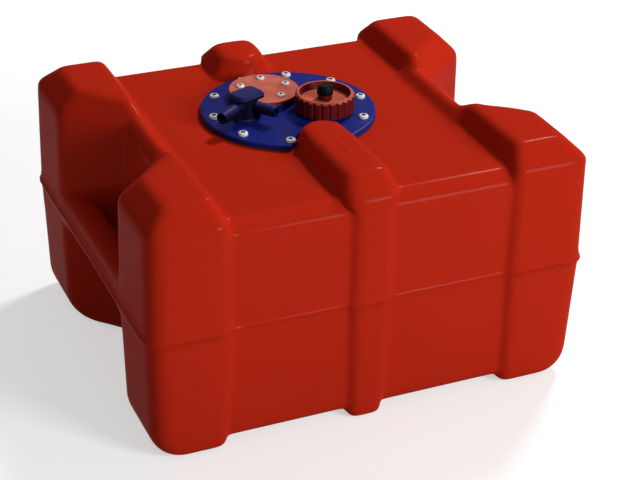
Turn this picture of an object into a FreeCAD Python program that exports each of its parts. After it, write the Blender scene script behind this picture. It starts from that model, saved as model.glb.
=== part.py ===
import FreeCAD, Part
import os

import Sketcher

# A moulded fuel tank of about 42 litres for an outboard engine.
# X runs along the tank, Y from front to back, Z up.
# The origin is on the floor, at the middle of the tank's box.

V = FreeCAD.Vector
doc = FreeCAD.newDocument("outboard_fuel_tank")
sheet = doc.addObject("Spreadsheet::Sheet", "sizes")

SIZES = [
    # Tank body, measured at the mould's parting line
    ("tank_length", 500.0),
    ("tank_depth", 416.0),
    ("tank_height", 292.0),
    ("parting_level", 149.0),
    ("wall", 5.0),
    ("top_draft", 0.7),
    ("base_draft", 1.7),
    ("panel_setback", 7.0),
    ("panel_drop", 25.0),
    ("belly_rise", 8.0),
    ("bead_reach", 2.0),
    ("bead_width", 5.0),
    # Corner lobes and the recesses between them
    ("lobe_left", 86.0),
    ("lobe_right", 91.0),
    ("lobe_chamfer", 23.0),
    ("lobe_slope", 10.0),
    ("recess_left", 57.0),
    ("recess_right", 68.0),
    ("recess_mouth", 212.0),
    ("recess_floor", 88.0),
    ("corner_round", 18.0),
    ("hip_round", 12.0),
    ("step_round", 8.0),
    ("crest_round", 6.0),
    ("room_corner", 8.0),
    ("room_sweep", 22.0),
    ("room_bevel", 6.0),
    ("foot_round", 12.0),
    ("foot_sweep", 34.0),
    # Ridges above the recess walls
    ("ridge_width", 32.0),
    ("ridge_height", 13.0),
    ("ridge_chamfer", 11.0),
    ("ridge_slope", 14.0),
    ("ridge_half", 75.0),
    ("ridge_round", 5.0),
    # Panels
    ("panel_chamfer", 12.0),
    ("belly_round", 14.0),
    # Middle ribs
    ("rib_width", 44.0),
    ("rib_front_x", -6.0),
    ("rib_back_x", -12.0),
    ("rib_slope", 3.0),
    ("rib_end_slope", 6.0),
    ("rib_end_cut", 13.0),
    ("rib_front_end", 40.0),
    ("rib_back_end", 128.0),
    ("rib_round", 8.0),
    # Handle bars
    ("bar_thickness", 30.0),
    ("bar_bottom", 130.0),
    ("bar_height", 47.0),
    ("bar_round", 13.0),
    ("bar_lip", 9.0),
    ("bar_overlap", 9.0),
    # Round flange on the top panel, with its screws and inserts
    ("flange_x", -6.0),
    ("flange_y", 27.0),
    ("flange_radius", 99.0),
    ("flange_thickness", 5.0),
    ("flange_round", 2.0),
    ("gasket_thickness", 2.0),
    ("hatch_radius", 70.0),
    ("notch_half", 25.0),
    ("notch_end", 36.0),
    ("notch_corner", 22.0),
    ("notch_flare", 56.0),
    ("notch_mouth", 80.0),
    ("notch_land", 12.0),
    ("rim_width", 2.0),
    ("rim_depth", 8.0),
    ("rim_gap", 1.5),
    ("bolt_radius", 87.5),
    ("bolt_phase", -38.7),
    ("bolt_step", 36.0),
    ("screw_head_radius", 5.0),
    ("screw_head_height", 3.2),
    ("screw_radius", 2.9),
    ("screw_length", 16.0),
    ("drive_radius", 2.3),
    ("drive_depth", 1.8),
    ("hole_gap", 0.4),
    ("thread_gap", 0.05),
    ("insert_radius", 4.2),
    ("insert_length", 12.0),
    ("boss_radius", 7.5),
    ("boss_depth", 15.0),
    # Blanked port for a level sender
    ("port_x", -21.6),
    ("port_y", 61.8),
    ("port_radius", 40.0),
    ("port_rise", 6.0),
    ("port_bore", 22.0),
    ("port_gasket", 1.5),
    ("cover_thickness", 3.5),
    ("cover_round", 1.0),
    ("port_bolt_radius", 27.3),
    ("port_phase", 4.8),
    ("port_screw_head", 4.0),
    ("port_screw_height", 2.2),
    ("port_screw_radius", 2.0),
    ("port_screw_length", 12.0),
    ("port_insert_radius", 3.2),
    ("port_insert_length", 8.0),
    # Filler neck and its cap
    ("filler_x", 28.7),
    ("filler_y", 4.0),
    ("throat_radius", 19.0),
    ("neck_radius", 26.0),
    ("neck_height", 10.0),
    ("neck_depth", 12.0),
    ("cap_radius", 33.3),
    ("cap_height", 20.0),
    ("cap_lift", 3.0),
    ("cap_round", 2.0),
    ("dish_radius", 27.0),
    ("dish_depth", 8.0),
    ("cap_floor", 2.5),
    ("cap_clearance", 0.4),
    ("lip_gasket", 1.9),
    ("lip_gap", 0.3),
    ("flute_count", 24.0),
    ("flute_radius", 2.6),
    ("flute_reach", 1.3),
    # Vent screw in the cap
    ("vent_boss_radius", 8.0),
    ("vent_boss_height", 6.0),
    ("vent_stem_radius", 3.0),
    ("vent_hole_radius", 1.0),
    ("vent_land", 1.5),
    ("vent_seal_height", 1.7),
    ("knob_radius", 9.2),
    ("knob_waist", 7.4),
    ("knob_height", 10.5),
    ("knob_flutes", 12.0),
    ("knob_flute_radius", 1.1),
    # Fuel outlet
    ("outlet_x", -59.0),
    ("outlet_y", 21.0),
    ("outlet_radius", 13.0),
    ("outlet_height", 22.0),
    ("outlet_seal", 1.5),
    ("spigot_radius", 8.0),
    ("spigot_drop", 16.0),
    ("nut_radius", 12.0),
    ("nut_height", 6.0),
    ("ball_radius", 4.2),
    ("ball_seat", 3.0),
    ("ball_travel", 3.0),
    ("chamber_radius", 4.6),
    ("duct_radius", 3.0),
    ("tail_level", 290.0),
    ("tail_left_turn", 215.0),
    ("tail_left_length", 48.0),
    ("tail_left_radius", 6.6),
    ("tail_right_turn", 304.0),
    ("tail_right_length", 40.0),
    ("tail_right_radius", 5.8),
    ("barb_pitch", 6.0),
    ("barb_rise", 0.9),
    ("web_width", 5.0),
    ("plug_length", 38.0),
    ("plug_width", 28.0),
    ("plug_height", 6.0),
    ("plug_chamfer", 3.0),
    ("plug_stem", 6.0),
    ("plug_stem_length", 6.0),
    ("plug_turn", 22.0),
    ("ring_section", 1.0),
    # Pickup inside the tank
    ("nipple_radius", 3.4),
    ("nipple_length", 12.0),
    ("tube_radius", 5.0),
    ("tube_bore", 3.5),
    ("tube_end", 40.0),
    ("strainer_radius", 9.0),
    ("strainer_height", 35.0),
    ("strainer_wall", 1.8),
    ("strainer_gap", 3.0),
    ("strainer_slots", 8.0),
    ("slot_width", 2.4),
]


def fill_sheet():
    for row, (alias, number) in enumerate(SIZES, start=1):
        sheet.set("A%d" % row, alias)
        sheet.set("B%d" % row, str(number))
        sheet.setAlias("B%d" % row, alias)
    doc.recompute()


def number(expression):
    """The value of an expression in the sheet's names, without its unit."""
    result = sheet.evalExpression(expression)
    return float(getattr(result, "Value", result))


def new_body(label):
    return doc.addObject("PartDesign::Body", label)


def plane(body, role):
    return [item for item in body.Origin.OriginFeatures if item.Role == role][0]


def new_sketch(body, name, role="XY_Plane", level="0"):
    sketch = body.newObject("Sketcher::SketchObject", name)
    sketch.AttachmentSupport = (plane(body, role), "")
    sketch.MapMode = "FlatFace"
    sketch.setExpression("AttachmentOffset.Base.z", level)
    return sketch


def pin(sketch, kind, geometry, point, expression, name):
    """Ties one coordinate of a point to an expression."""
    index = sketch.addConstraint(Sketcher.Constraint(kind, -1, 1, geometry, point, number(expression)))
    sketch.renameConstraint(index, name)
    return name, expression


def outline(sketch, corners):
    """A closed outline. Each corner is (x, y) or (x, y, rounding), all expressions."""
    count = len(corners)
    points = [V(number(corner[0]), number(corner[1]), 0) for corner in corners]
    lines = []
    for index in range(count):
        segment = Part.LineSegment(points[index], points[(index + 1) % count])
        lines.append(sketch.addGeometry(segment, False))
    for index in range(count):
        following = lines[(index + 1) % count]
        sketch.addConstraint(Sketcher.Constraint("Coincident", lines[index], 2, following, 1))
    ties = []
    for index, corner in enumerate(corners):
        ties.append(pin(sketch, "DistanceX", lines[index], 1, corner[0], "x%d" % index))
        ties.append(pin(sketch, "DistanceY", lines[index], 1, corner[1], "y%d" % index))
    for index, corner in enumerate(corners):
        if len(corner) == 3:
            sketch.fillet(lines[index], 1, number(corner[2]), True, True)
            arc = sketch.GeometryCount - 2
            tie = sketch.addConstraint(Sketcher.Constraint("Radius", arc, number(corner[2])))
            sketch.renameConstraint(tie, "r%d" % index)
            ties.append(("r%d" % index, corner[2]))
    for name, expression in ties:
        sketch.setExpression("Constraints." + name, expression)
    return sketch


def circle(sketch, x, y, radius, name="c"):
    shape = Part.Circle(V(number(x), number(y), 0), V(0, 0, 1), number(radius))
    geometry = sketch.addGeometry(shape, False)
    ties = [pin(sketch, "DistanceX", geometry, 3, x, name + "x")]
    ties.append(pin(sketch, "DistanceY", geometry, 3, y, name + "y"))
    tie = sketch.addConstraint(Sketcher.Constraint("Radius", geometry, number(radius)))
    sketch.renameConstraint(tie, name + "r")
    ties.append((name + "r", radius))
    for tie_name, expression in ties:
        sketch.setExpression("Constraints." + tie_name, expression)
    return sketch


def pad(body, name, sketch, length, symmetric=False, reverse=False):
    feature = body.newObject("PartDesign::Pad", name)
    feature.Profile = sketch
    feature.setExpression("Length", length)
    feature.Midplane = symmetric
    feature.Reversed = reverse
    doc.recompute()
    return feature


def shape_faces(feature, test):
    return ["Face%d" % index for index, face in enumerate(feature.Shape.Faces, start=1) if test(face)]


def shape_edges(feature, test):
    return ["Edge%d" % index for index, edge in enumerate(feature.Shape.Edges, start=1) if test(edge)]


def ends(edge):
    return [vertex.Point for vertex in edge.Vertexes]


def drafted_block(name, corners, start, height, angle, down=False):
    """A block padded up or down from a level, with all its side walls drafted inward."""
    body = new_body(name)
    sketch = outline(new_sketch(body, name + "_plan", level=start), corners)
    block = pad(body, name + "_pad", sketch, height, reverse=down)
    level = number(start)
    drafted = body.newObject("PartDesign::Draft", name + "_draft")
    drafted.Base = (block, shape_faces(block, lambda face: abs(face.normalAt(0, 0).z) < 0.1))
    base = shape_faces(block, lambda face: face.BoundBox.ZLength < 0.01 and abs(face.BoundBox.ZMin - level) < 0.01)
    drafted.NeutralPlane = (block, base)
    drafted.setExpression("Angle", angle)
    doc.recompute()
    if drafted.Shape.Volume > block.Shape.Volume:
        drafted.Reversed = True
    doc.recompute()
    return body


def end_area(feature, up):
    """Area of the flat faces at the top, or at the bottom, of a form."""
    box = feature.Shape.BoundBox
    if up:
        faces = [face for face in feature.Shape.Faces if face.BoundBox.ZMin > box.ZMax - 0.01]
    else:
        faces = [face for face in feature.Shape.Faces if face.BoundBox.ZMax < box.ZMin + 0.01]
    return sum(face.Area for face in faces)


def bevel(body, name, test, across, drop, up=True):
    """Cuts the edges of the top or bottom that pass the test: so far across, and so far down."""
    base = body.Tip
    level = base.Shape.BoundBox.ZMax if up else base.Shape.BoundBox.ZMin
    edges = shape_edges(base, lambda edge: near(edge, "z", level, 0.01) and test(edge))
    chamfer = body.newObject("PartDesign::Chamfer", name)
    chamfer.Base = (base, edges)
    chamfer.ChamferType = "Two distances"
    chamfer.setExpression("Size", across)
    chamfer.setExpression("Size2", drop)
    doc.recompute()
    area = end_area(chamfer, up)
    chamfer.FlipDirection = True
    doc.recompute()
    if "Invalid" in chamfer.State or end_area(chamfer, up) < area:
        chamfer.FlipDirection = False
        doc.recompute()
    return chamfer


def soften(name, base, radius_of):
    """Rounds the edges of a form, each with the radius given for it."""
    rounding = doc.addObject("Part::Fillet", name)
    rounding.Base = base
    edges = []
    for index, edge in enumerate(base.Shape.Edges, start=1):
        radius = radius_of(edge)
        if radius > 1.0:
            edges.append((index, radius, radius))
    rounding.Edges = edges
    doc.recompute()
    return rounding


def fuse(name, parts):
    joined = doc.addObject("Part::MultiFuse", name)
    joined.Shapes = parts
    doc.recompute()
    return joined


def cut(name, base, tool):
    result = doc.addObject("Part::Cut", name)
    result.Base = base
    result.Tool = tool
    doc.recompute()
    return result


def span(edge, axis):
    values = [getattr(point, axis) for point in ends(edge)]
    return max(values) - min(values)


def near(edge, axis, value, reach=1.0):
    return all(abs(getattr(point, axis) - value) < reach for point in ends(edge))


fill_sheet()

# Levels of the tank's layers: the bead stands between the upper and the lower form
BEAD_TOP = "(sizes.parting_level + sizes.bead_width / 2)"
BEAD_BOTTOM = "(sizes.parting_level - sizes.bead_width / 2)"
PANEL = "(sizes.tank_height - sizes.panel_drop)"


def in_room(inset):
    """True for the forms of the hollow, whose corners are cut flat instead of rounded."""
    return "wall" in inset


def start_level(down):
    return BEAD_BOTTOM if down else BEAD_TOP


def lobe_corners(side, back, length, recess, inset, cut_corner=False):
    """Four corners of a lobe: outer, inner, tip at the recess and mouth of the recess."""
    flare = "((sizes.recess_mouth - sizes.recess_floor) / 2 / %s)" % recess
    reach = "sqrt(1 + %s * %s)" % (flare, flare)
    outer_x = "(sizes.tank_length / 2 - (%s))" % inset
    inner_x = "(sizes.tank_length / 2 - %s + (%s))" % (length, inset)
    outer_y = "(sizes.tank_depth / 2 - (%s))" % inset

    def flare_y(x):
        return "(sizes.recess_mouth / 2 - %s * (sizes.tank_length / 2 - %s) + %s * (%s))" % (
            flare, x, reach, inset)

    corners = [(outer_x, outer_y), (inner_x, outer_y), (inner_x, flare_y(inner_x)),
               (outer_x, flare_y(outer_x))]
    if cut_corner:
        corners[0] = (outer_x + " - sizes.room_corner", outer_y)
        corners.append((outer_x, "(%s - sizes.room_corner)" % outer_y))
    return [("%d * (%s)" % (side, x), "%d * %s" % (back, y)) for x, y in corners]


def lobe_upper(name, side, back, length, recess, inset):
    """Upper half of a corner lobe: chamfered to the outside, stepped down to the panel."""
    start = start_level(False)
    body = drafted_block(name, lobe_corners(side, back, length, recess, inset), start,
                         "sizes.tank_height - %s - %s" % (inset, start), "sizes.top_draft")
    divide = number("sizes.tank_length / 2 - %s" % length) + 12
    chamfer = "sizes.lobe_chamfer - (2 - sqrt(2)) * " + inset

    def inner_side(edge):
        return all(abs(point.x) < divide for point in ends(edge))

    bevel(body, name + "_chamfer", lambda edge: not inner_side(edge), chamfer, chamfer)
    bevel(body, name + "_step", inner_side, "sizes.lobe_slope", chamfer)
    shoulder = number("sizes.tank_height - sizes.lobe_chamfer")

    def radius_of(edge):
        outer = max(abs(point.x) for point in ends(edge)) > divide + 20
        if near(edge, "z", number(start)):
            return 0.0
        if in_room(inset):
            return number("sizes.corner_round - sizes.wall") if outer and span(edge, "z") > 60 else 0.0
        if span(edge, "z") > 60:
            return number("sizes.corner_round" if outer else "sizes.step_round")
        if span(edge, "z") > 5:
            return number("sizes.hip_round" if outer else "sizes.step_round")
        if near(edge, "z", shoulder, 2.0):
            return number("sizes.step_round")
        return number("sizes.crest_round")

    return soften(name + "_round", body, radius_of)


def lobe_lower(name, side, back, length, recess, inset):
    """Lower half of a corner lobe, its foot swept up at the end of the tank."""
    start = start_level(True)
    body = drafted_block(name, lobe_corners(side, back, length, recess, inset, in_room(inset)), start,
                         "%s - %s" % (start, inset), "sizes.base_draft", down=True)
    divide = number("sizes.tank_length / 2 - %s" % length) + 12

    def at_end(edge):
        return span(edge, "x") < 1 and abs(ends(edge)[0].x) > divide

    if in_room(inset):
        bevel(body, name + "_sweep", at_end, "sizes.room_sweep", "sizes.room_sweep", up=False)
        bevel(body, name + "_bevel",
              lambda edge: not at_end(edge) and max(abs(point.x) for point in ends(edge)) > divide
              and span(edge, "x") > 10, "sizes.room_bevel", "sizes.room_bevel", up=False)
        return body

    def radius_of(edge):
        outer = max(abs(point.x) for point in ends(edge)) > divide
        if near(edge, "z", number(start)):
            return 0.0
        if span(edge, "z") > 60:
            return number("sizes.corner_round" if outer else "sizes.step_round")
        if span(edge, "x") < 1:
            return number("sizes.foot_sweep" if outer else "sizes.step_round")
        return number("sizes.foot_round")

    return soften(name + "_round", body, radius_of)


def core_corners(inset):
    left = "-(sizes.tank_length / 2 - sizes.recess_left) + (%s)" % inset
    right = "sizes.tank_length / 2 - sizes.recess_right - (%s)" % inset
    side = "(sizes.tank_depth / 2 - sizes.panel_setback - (%s))" % inset
    return [(left, "-" + side), (right, "-" + side), (right, side), (left, side)]


def core_upper(name, inset):
    start = start_level(False)
    body = drafted_block(name, core_corners(inset), start, PANEL + " - %s - %s" % (inset, start),
                         "sizes.top_draft")
    chamfer = "sizes.panel_chamfer - (2 - sqrt(2)) * " + inset
    bevel(body, name + "_chamfer", lambda edge: span(edge, "y") < 1, chamfer, chamfer)
    if in_room(inset):
        return body

    def radius_of(edge):
        along = span(edge, "x") > 100 and not near(edge, "z", number(start))
        return number("sizes.step_round") if along else 0.0

    return soften(name + "_round", body, radius_of)


def core_lower(name, inset):
    start = start_level(True)
    body = drafted_block(name, core_corners(inset), start, start + " - sizes.belly_rise - " + inset,
                         "sizes.base_draft", down=True)
    if in_room(inset):
        bevel(body, name + "_bevel", lambda edge: span(edge, "x") > 100, "sizes.room_corner",
              "sizes.room_corner",
              up=False)
        return body

    def radius_of(edge):
        along = span(edge, "x") > 100 and not near(edge, "z", number(start))
        return number("sizes.belly_round") if along else 0.0

    return soften(name + "_round", body, radius_of)


def ridge(name, side, recess, inset):
    """The roof-shaped ridge that closes the panel above a recess wall."""
    start = start_level(False)
    outer = "%d * (sizes.tank_length / 2 - %s - (%s))" % (side, recess, inset)
    inner = "%d * (sizes.tank_length / 2 - %s - sizes.ridge_width + (%s))" % (side, recess, inset)
    half = "sizes.ridge_half"
    corners = [(outer, "-" + half), (inner, "-" + half), (inner, half), (outer, half)]
    body = drafted_block(name, corners, start, PANEL + " + sizes.ridge_height - %s - %s" % (inset, start),
                         "sizes.top_draft")
    outer_side = number("abs(%s)" % outer) - 6
    chamfer = "sizes.ridge_chamfer - (2 - sqrt(2)) * " + inset
    bevel(body, name + "_chamfer", lambda edge: span(edge, "x") < 1 and abs(ends(edge)[0].x) > outer_side,
          chamfer, chamfer)
    bevel(body, name + "_step", lambda edge: span(edge, "x") < 1 and abs(ends(edge)[0].x) < outer_side - 12,
          "sizes.ridge_slope - " + inset, "sizes.ridge_height")
    if in_room(inset):
        return body
    top = body.Shape.BoundBox.ZMax

    def radius_of(edge):
        along = span(edge, "y") > 100 and near(edge, "z", top)
        return number("sizes.ridge_round") if along else 0.0

    return soften(name + "_round", body, radius_of)


def rib_corners(back, middle, end, inset):
    half = "(sizes.rib_width / 2 - (%s))" % inset
    notch = "(sizes.rib_end_cut)"
    outer = "%d * (sizes.tank_depth / 2 - (%s))" % (back, inset)
    inner = "%d * (%s + (%s))" % (back, end, inset)
    shy = "%d * (%s + (%s) + %s)" % (back, end, inset, notch)
    left = "%s - %s" % (middle, half)
    right = "%s + %s" % (middle, half)
    return [(left, outer), (right, outer), (right, shy), (right + " - " + notch, inner),
            (left + " + " + notch, inner), (left, shy)]


def rib_upper(name, back, middle, end, inset):
    """Upper half of a middle rib: chamfered to the outside, with steep sides."""
    start = start_level(False)
    body = drafted_block(name, rib_corners(back, middle, end, inset), start,
                         "sizes.tank_height - %s - %s" % (inset, start), "sizes.top_draft")
    chamfer = "sizes.lobe_chamfer - (2 - sqrt(2)) * " + inset
    outer_y = number("sizes.tank_depth / 2") - 20
    inner_y = number(end) + number("sizes.rib_end_cut") + number(inset) + 10
    centre = number(middle)

    def at_end(edge):
        return all(abs(point.y) < inner_y for point in ends(edge))

    bevel(body, name + "_chamfer", lambda edge: all(abs(point.y) > outer_y for point in ends(edge)),
          chamfer, chamfer)
    bevel(body, name + "_sides", lambda edge: span(edge, "x") < 1 and span(edge, "y") > 20,
          "sizes.rib_slope", chamfer)
    bevel(body, name + "_end", lambda edge: at_end(edge) and span(edge, "y") < 1,
          "sizes.rib_end_slope", chamfer)
    for tag, side in (("_end_left", -1), ("_end_right", 1)):
        bevel(body, name + tag, lambda edge: at_end(edge) and span(edge, "y") > 1 and span(edge, "x") > 1
              and all(side * (point.x - centre) > 0 for point in ends(edge)), "sizes.rib_end_slope", chamfer)
    if in_room(inset):
        return body

    def radius_of(edge):
        if near(edge, "z", number(start)):
            return 0.0
        crest = near(edge, "z", number("sizes.tank_height"))
        return number("sizes.crest_round" if crest else "sizes.rib_round")

    return soften(name + "_round", body, radius_of)


def rib_lower(name, back, middle, end, inset):
    start = start_level(True)
    body = drafted_block(name, rib_corners(back, middle, end, inset), start, "%s - %s" % (start, inset),
                         "sizes.base_draft", down=True)
    if in_room(inset):
        return body

    def radius_of(edge):
        if near(edge, "z", number(start)):
            return 0.0
        if span(edge, "z") > 5:
            return number("sizes.rib_round")
        return number("sizes.crest_round")

    return soften(name + "_round", body, radius_of)


def bar_corners(side, inset):
    outer = "%d * (sizes.tank_length / 2 - (%s))" % (side, inset)
    inner = "%d * (sizes.tank_length / 2 - sizes.bar_thickness + (%s))" % (side, inset)
    half = "(sizes.recess_mouth / 2 + sizes.bar_overlap)"
    return [(outer, "-" + half), (inner, "-" + half), (inner, half), (outer, half)]


def bar_half(name, side, inset, down):
    """Upper or lower half of a handle bar, which closes the recess to a loop."""
    start = start_level(down)
    if down:
        height = "%s - sizes.bar_bottom - %s" % (start, inset)
    else:
        height = "sizes.bar_bottom + sizes.bar_height - %s - %s" % (inset, start)
    body = drafted_block(name, bar_corners(side, inset), start, height,
                         "sizes.base_draft" if down else "sizes.top_draft", down=down)
    if in_room(inset):
        bevel(body, name + "_bevel", lambda edge: span(edge, "y") > 50, "sizes.room_bevel",
              "sizes.room_bevel",
              up=not down)
        return body
    radius = number("sizes.bar_lip" if down else "sizes.bar_round")

    def radius_of(edge):
        along = span(edge, "y") > 50 and not near(edge, "z", number(start))
        return radius if along else 0.0

    return soften(name + "_round", body, radius_of)


def bead_slab(name, corners, rounds=None):
    body = new_body(name)
    rounded = corners if rounds is None else [corner + (radius,) for corner, radius in zip(corners, rounds)]
    sketch = outline(new_sketch(body, name + "_plan", level=BEAD_BOTTOM), rounded)
    pad(body, name + "_pad", sketch, "sizes.bead_width")
    return body


LOBES = [("front_left", -1, -1, "sizes.lobe_left", "sizes.recess_left"),
         ("front_right", 1, -1, "sizes.lobe_right", "sizes.recess_right"),
         ("back_left", -1, 1, "sizes.lobe_left", "sizes.recess_left"),
         ("back_right", 1, 1, "sizes.lobe_right", "sizes.recess_right")]
RIBS = [("front", -1, "sizes.rib_front_x", "sizes.rib_front_end"),
        ("back", 1, "sizes.rib_back_x", "sizes.rib_back_end")]
SIDES = [("left", -1, "sizes.recess_left"), ("right", 1, "sizes.recess_right")]


def tank_forms(tag, inset):
    """All the forms that make the tank's outside, or with an inset its hollow."""
    forms = [core_upper(tag + "_core_upper", inset), core_lower(tag + "_core_lower", inset)]
    for name, side, back, length, recess in LOBES:
        forms.append(lobe_upper("%s_%s_upper" % (tag, name), side, back, length, recess, inset))
        forms.append(lobe_lower("%s_%s_lower" % (tag, name), side, back, length, recess, inset))
    for name, back, middle, end in RIBS:
        forms.append(rib_upper("%s_rib_%s_upper" % (tag, name), back, middle, end, inset))
        forms.append(rib_lower("%s_rib_%s_lower" % (tag, name), back, middle, end, inset))
    for name, side, recess in SIDES:
        forms.append(ridge("%s_ridge_%s" % (tag, name), side, recess, inset))
        forms.append(bar_half("%s_bar_%s_upper" % (tag, name), side, inset, False))
        forms.append(bar_half("%s_bar_%s_lower" % (tag, name), side, inset, True))
    return forms


def bead_forms():
    """The raised bead along the parting line, a slab a little larger than the tank's plan."""
    out = "-sizes.bead_reach"
    outer = "sizes.corner_round + sizes.bead_reach"
    inner = "sizes.step_round + sizes.bead_reach"
    forms = [bead_slab("bead_core", core_corners(out))]
    for name, side, back, length, recess in LOBES:
        corners = lobe_corners(side, back, length, recess, out)
        forms.append(bead_slab("bead_" + name, corners, [outer, inner, inner, outer]))
    for name, back, middle, end in RIBS:
        corners = rib_corners(back, middle, end, out)
        soft = ["sizes.rib_round + sizes.bead_reach"] * 2 + ["sizes.rib_round"] * 4
        forms.append(bead_slab("bead_rib_" + name, corners, soft))
    for name, side, recess in SIDES:
        forms.append(bead_slab("bead_bar_" + name, bar_corners(side, out)))
    return forms


def bead_rooms():
    """The groove inside the bead, so that the wall keeps its thickness."""
    inset = "(sizes.wall - sizes.bead_reach)"
    forms = [bead_slab("groove_core", core_corners(inset))]
    for name, side, back, length, recess in LOBES:
        forms.append(bead_slab("groove_" + name, lobe_corners(side, back, length, recess, inset, True)))
    for name, back, middle, end in RIBS:
        forms.append(bead_slab("groove_rib_" + name, rib_corners(back, middle, end, inset)))
    for name, side, recess in SIDES:
        forms.append(bead_slab("groove_bar_" + name, bar_corners(side, inset)))
    return forms


# Levels of the stack on the top panel
PLATE_BOTTOM = "(%s + sizes.gasket_thickness)" % PANEL
PLATE_TOP = "(%s + sizes.flange_thickness)" % PLATE_BOTTOM
PORT_TOP = "(%s + sizes.port_rise)" % PLATE_TOP
NECK_TOP = "(%s + sizes.neck_height)" % PLATE_TOP


def cylinder(name, x, y, z, radius, height):
    solid = doc.addObject("Part::Cylinder", name)
    solid.setExpression("Placement.Base.x", x)
    solid.setExpression("Placement.Base.y", y)
    solid.setExpression("Placement.Base.z", z)
    solid.setExpression("Radius", radius)
    solid.setExpression("Height", height)
    doc.recompute()
    return solid


def place(item, x, y, z="0"):
    item.setExpression("Placement.Base.x", x)
    item.setExpression("Placement.Base.y", y)
    item.setExpression("Placement.Base.z", z)
    doc.recompute()
    return item


def turned(name, corners):
    """A body revolved about Z from a closed outline of (radius, level) pairs."""
    body = new_body(name)
    sketch = outline(new_sketch(body, name + "_profile", "XZ_Plane"), corners)
    feature = body.newObject("PartDesign::Revolution", name + "_turn")
    feature.Profile = sketch
    feature.ReferenceAxis = (sketch, ["V_Axis"])
    feature.Angle = 360
    doc.recompute()
    return body


def ring(name, x, y, inner, outer, low, high):
    """A flat ring about a vertical axis at x, y."""
    return place(turned(name, [(inner, low), (outer, low), (outer, high), (inner, high)]), x, y)


def around(x, y, radius, phase, step, count):
    """Centres on a circle, as pairs of expressions."""
    centres = []
    for index in range(count):
        angle = "(%s + %d * %s)" % (phase, index, step)
        centres.append(("%s + %s * cos(%s * 1 deg)" % (x, radius, angle),
                        "%s + %s * sin(%s * 1 deg)" % (y, radius, angle)))
    return centres


def pillars(name, centres, z, radius, height):
    return [cylinder("%s_%d" % (name, index), x, y, z, radius, height)
            for index, (x, y) in enumerate(centres, start=1)]


def copies(label, master, centres, z):
    """A group of the same piece, set at each of the centres."""
    links = []
    for index, (x, y) in enumerate(centres, start=1):
        link = doc.addObject("App::Link", "%s_%d" % (label, index))
        link.LinkedObject = master
        links.append(place(link, x, y, z))
    group = doc.addObject("Part::Compound", label)
    group.Links = links
    doc.recompute()
    return group


BOLTS = around("sizes.flange_x", "sizes.flange_y", "sizes.bolt_radius", "sizes.bolt_phase",
               "sizes.bolt_step", 9)
PORT_BOLTS = around("sizes.port_x", "sizes.port_y", "sizes.port_bolt_radius", "sizes.port_phase", "72", 5)


def notch_tool(name, land, low, height):
    """The notch around the end of the front rib, wider by the land, flared at its mouth."""
    half = "(sizes.notch_half + %s)" % land
    end = "-(sizes.notch_end - %s)" % land
    wide = "(%s + sizes.notch_mouth - sizes.notch_flare)" % half
    corner = "(sizes.notch_corner + %s)" % land
    middle = "sizes.rib_front_x"
    corners = [(middle + " - " + wide, "-sizes.notch_mouth"), (middle + " + " + wide, "-sizes.notch_mouth"),
               (middle + " + " + half, "-sizes.notch_flare"), (middle + " + " + half, end, corner),
               (middle + " - " + half, end, corner), (middle + " - " + half, "-sizes.notch_flare")]
    body = new_body(name)
    sketch = outline(new_sketch(body, name + "_plan", level=low), corners)
    pad(body, name + "_pad", sketch, height)
    return body


def hatch_tool(name, inset, low, height):
    """The opening under the flange: a circle less the land around the notch."""
    disc = cylinder(name + "_disc", "sizes.flange_x", "sizes.flange_y", low,
                    "sizes.hatch_radius - " + inset, height)
    return cut(name, disc, notch_tool(name + "_land", "(sizes.notch_land + %s)" % inset, low, height))


def hollowed(name, outside, room):
    """The outer form with the room as a void: a solid between two closed skins."""
    lining = room.Shape.Solids[0].OuterShell.copy()
    lining.reverse()
    result = doc.addObject("Part::Feature", name)
    result.Shape = Part.makeSolid(Part.makeCompound([outside.Shape.Solids[0].OuterShell, lining]))
    doc.recompute()
    return result


def build_tank():
    """The moulded tank: an outer form less its hollow, with insert bosses and the hatch."""
    outside = fuse("tank_outside", tank_forms("outer", "0") + bead_forms())
    hollow = fuse("tank_hollow", tank_forms("inner", "sizes.wall") + bead_rooms())
    bosses = fuse("tank_bosses", pillars("boss", BOLTS, PANEL + " - sizes.boss_depth", "sizes.boss_radius",
                                         "sizes.boss_depth - sizes.wall / 2"))
    room = cut("tank_room", hollow, bosses)
    hatch = hatch_tool("hatch", "0", PANEL + " - 2 * sizes.wall", "4 * sizes.wall")
    pockets = pillars("pocket", BOLTS, PANEL + " - sizes.insert_length", "sizes.insert_radius",
                      "2 * sizes.insert_length")
    return cut("tank_shell", hollowed("tank_skins", outside, room), fuse("tank_cuts", [hatch] + pockets))


def build_screw(name, head, height, shank, length):
    """A pan-head screw with a hexagon recess; its head stands on level 0."""
    body = turned(name, [("0", "-" + length), (shank, "-" + length), (shank, "0"), (head, "0"),
                         (head, height + " * 0.45"), (head + " * 0.72", height), ("0", height)])
    count = 6
    corners = [("sizes.drive_radius * cos(%d deg)" % (360 * index / count),
                "sizes.drive_radius * sin(%d deg)" % (360 * index / count)) for index in range(count)]
    sketch = outline(new_sketch(body, name + "_drive", level=height), corners)
    recess = body.newObject("PartDesign::Pocket", name + "_recess")
    recess.Profile = sketch
    recess.setExpression("Length", "sizes.drive_depth")
    doc.recompute()
    return body


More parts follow.
